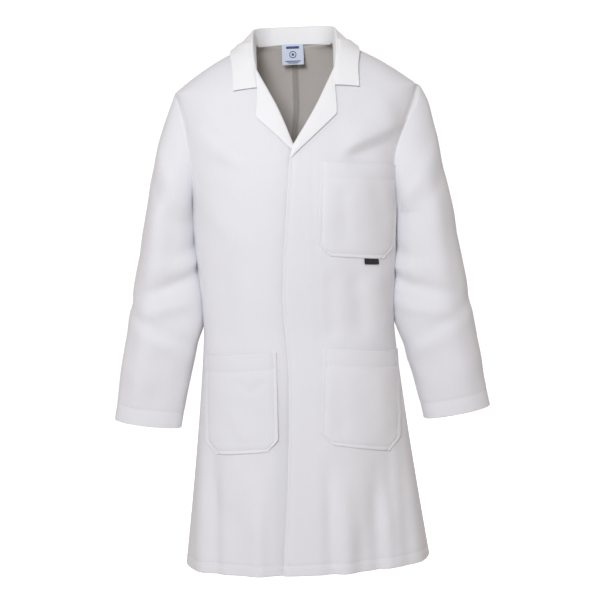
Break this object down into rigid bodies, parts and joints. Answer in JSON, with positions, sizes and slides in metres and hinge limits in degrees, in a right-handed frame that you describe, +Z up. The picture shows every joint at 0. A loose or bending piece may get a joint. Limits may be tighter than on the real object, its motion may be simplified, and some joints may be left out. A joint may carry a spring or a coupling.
{
  "type": "lab coat",
  "caption": "Knee-length white lab coat with notched lapels, long plain sleeves, a concealed press-stud front, a chest pocket and hip pockets.",
  "frame": {"origin": "shoulder seat: on the centre plane, level with the neck ends of the shoulder seams and midway between front and back", "axes": "+Z up, front of the coat faces -Y, +X is the wearer's left"},
  "size_m": [0.752, 0.3, 1.0638],
  "materials": {
    "coat_cloth": "plain white poly-cotton twill",
    "stud_steel": "nickel-plated press studs",
    "label_weave": "woven satin label, plain",
    "tab_weave": "folded black tab, plain",
    "loop_tape": "white cotton tape"
  },
  "bodies": {
    "shell": {"back_panel_left": "coat_cloth", "back_panel_right": "coat_cloth", "vent_underlap": "coat_cloth", "left_front_side": "coat_cloth", "right_front_side": "coat_cloth", "left_sleeve_head": "coat_cloth", "right_sleeve_head": "coat_cloth", "under_collar": "coat_cloth", "top_collar": "coat_cloth", "chest_pocket": "coat_cloth", "pocket_tab": "tab_weave", "hanger_loop": "loop_tape"},
    "left_front": {"left_front_panel": "coat_cloth", "left_facing": "coat_cloth", "left_lapel": "coat_cloth", "fly_strip": "coat_cloth", "left_hip_pocket": "coat_cloth", "stud_caps": "stud_steel", "stud_sockets": "stud_steel"},
    "right_front": {"right_front_panel": "coat_cloth", "right_facing": "coat_cloth", "right_lapel": "coat_cloth", "right_hip_pocket": "coat_cloth", "stud_posts": "stud_steel", "stud_backs": "stud_steel"},
    "left_sleeve": {"left_sleeve": "coat_cloth"},
    "right_sleeve": {"right_sleeve": "coat_cloth"},
    "neck_label": {"neck_label": "label_weave"}
  },
  "joints": [
    {"name": "left_front_swing", "type": "hinge", "parent": "shell", "child": "left_front", "pos_m": [0.104, -0.1, 0], "axis": [-0.1522, 0, 0.9883], "range_deg": [0, 50]},
    {"name": "right_front_swing", "type": "hinge", "parent": "shell", "child": "right_front", "pos_m": [-0.104, -0.1, 0], "axis": [-0.1522, 0, -0.9883], "range_deg": [0, 25]},
    {"name": "left_sleeve_swing", "type": "hinge", "parent": "shell", "child": "left_sleeve", "pos_m": [0.204, 0, -0.325], "axis": [0, -1, 0], "range_deg": [0, 35]},
    {"name": "right_sleeve_swing", "type": "hinge", "parent": "shell", "child": "right_sleeve", "pos_m": [-0.204, 0, -0.325], "axis": [0, 1, 0], "range_deg": [0, 35]},
    {"name": "neck_label_flip", "type": "hinge", "parent": "shell", "child": "neck_label", "pos_m": [0, 0.0563, 0.006], "axis": [-1, 0, 0], "range_deg": [0, 90]}
  ],
  "couplings": [
    {"joint": "right_front_swing", "follows": "left_front_swing", "ratio": 0.5}
  ]
}
